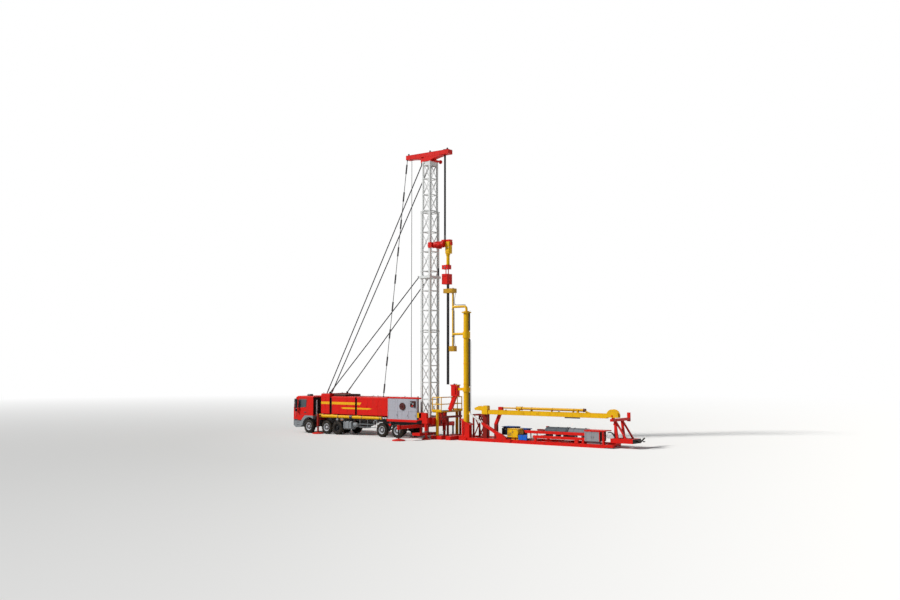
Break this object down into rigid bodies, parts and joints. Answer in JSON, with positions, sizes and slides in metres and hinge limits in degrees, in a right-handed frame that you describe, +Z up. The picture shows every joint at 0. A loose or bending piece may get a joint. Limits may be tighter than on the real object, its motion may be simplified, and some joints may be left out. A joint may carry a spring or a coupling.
{
  "type": "oil drilling rig",
  "caption": "Truck-carried oil drilling rig with a tall lattice mast, top drive, pipe handler arm, rig floor and a long skid-mounted pipe loader.",
  "frame": {"origin": "on the ground, under the middle of the whole rig", "axes": "+X along the rig from the truck's cab to the pipe loader, +Y across it, away from the side that the picture shows, +Z up"},
  "size_m": [30.9573, 7.5196, 21.815],
  "materials": {
    "chassis_black": "semi-gloss black chassis paint",
    "red_paint": "gloss red machine paint",
    "dark_red_paint": "satin dark red machine paint",
    "yellow_paint": "gloss golden yellow machine paint",
    "blue_paint": "satin blue machine paint",
    "pale_paint": "satin light grey paint on steel",
    "mast_paint": "satin off-white paint on lattice steel",
    "tank_paint": "satin slate grey paint",
    "brown_paint": "satin red-brown paint",
    "steel": "weathered bright steel",
    "dark_steel": "dark oiled steel",
    "rope_steel": "greased wire rope",
    "hose_rubber": "matt black rubber hose",
    "tyre": "dusty black tyre rubber",
    "window_glass": "dark tinted safety glass"
  },
  "bodies": {
    "rig": {"chassis_frame": "chassis_black", "cab": "red_paint", "cab_glass": "window_glass", "front_bumper": "steel", "cab_fittings": "chassis_black", "exhaust_stack": "steel", "front_bay": "red_paint", "power_body": "red_paint", "roof_hatch": "chassis_black", "side_rails": "yellow_paint", "control_cabinet": "pale_paint", "hose_reel": "brown_paint", "rear_deck": "red_paint", "fuel_tanks": "tank_paint", "front_jacks": "red_paint", "rear_outriggers": "red_paint", "mast_support": "red_paint", "mast_lower": "mast_paint", "mast_middle": "mast_paint", "mast_upper": "mast_paint", "crown_beam": "red_paint", "mast_stays": "rope_steel", "feed_hose": "hose_rubber", "floor_platform": "yellow_paint", "floor_railing": "yellow_paint", "floor_beams": "dark_red_paint", "floor_base": "red_paint", "skid_base": "red_paint", "handler_base": "red_paint", "handler_column": "yellow_paint", "handler_brace": "red_paint", "brace_ram": "pale_paint", "handler_lines": "hose_rubber", "loader_stand": "dark_red_paint", "skid_rack": "red_paint", "rack_posts": "pale_paint", "fluid_tanks": "tank_paint", "panel_box": "pale_paint", "yellow_box": "yellow_paint", "blue_boxes": "blue_paint", "rear_stand": "red_paint", "tow_frame": "red_paint"},
    "top_drive": {"drive_motor": "red_paint", "drive_gearbox": "yellow_paint", "drive_quill": "yellow_paint", "pipe_elevator": "red_paint", "drill_pipe": "dark_steel", "hoist_rope": "rope_steel"},
    "pipe_handler": {"handler_arm": "yellow_paint", "handler_claws": "yellow_paint"},
    "tong": {"tong_arm": "red_paint"},
    "pipe_loader": {"loader_beam": "yellow_paint", "beam_cylinder": "yellow_paint", "beam_strut": "red_paint"},
    "wheels_1": {"axle_1": "tyre"},
    "wheels_2": {"axle_2": "tyre"},
    "wheels_3": {"axle_3": "tyre"},
    "wheels_4": {"axle_4": "tyre"},
    "wheels_5": {"axle_5": "tyre"}
  },
  "joints": [
    {"name": "top_drive_slide", "type": "slide", "parent": "rig", "child": "top_drive", "axis": [0, 0, 1], "range_m": [-0.25, 6.1], "deforming": ["hoist_rope"]},
    {"name": "handler_swing", "type": "hinge", "parent": "rig", "child": "pipe_handler", "pos_m": [1.47, 0, 9.45], "axis": [0, 0, 1], "range_deg": [0, 180]},
    {"name": "tong_swing", "type": "hinge", "parent": "rig", "child": "tong", "pos_m": [1.47, 0, 3.62], "axis": [0, 0, 1], "range_deg": [0, 90]},
    {"name": "beam_tilt", "type": "hinge", "parent": "rig", "child": "pipe_loader", "pos_m": [13.54, 0, 2.15], "axis": [0, 1, 0], "range_deg": [0, 8]},
    {"name": "axle_1_spin", "type": "hinge", "parent": "rig", "child": "wheels_1", "pos_m": [-13.63, 0, 0.55], "axis": [0, 1, 0], "continuous": true},
    {"name": "axle_2_spin", "type": "hinge", "parent": "rig", "child": "wheels_2", "pos_m": [-11.62, 0, 0.55], "axis": [0, 1, 0], "continuous": true},
    {"name": "axle_3_spin", "type": "hinge", "parent": "rig", "child": "wheels_3", "pos_m": [-10.45, 0, 0.55], "axis": [0, 1, 0], "continuous": true},
    {"name": "axle_4_spin", "type": "hinge", "parent": "rig", "child": "wheels_4", "pos_m": [-5.73, 0, 0.55], "axis": [0, 1, 0], "continuous": true},
    {"name": "axle_5_spin", "type": "hinge", "parent": "rig", "child": "wheels_5", "pos_m": [-4.19, 0, 0.55], "axis": [0, 1, 0], "continuous": true}
  ]
}
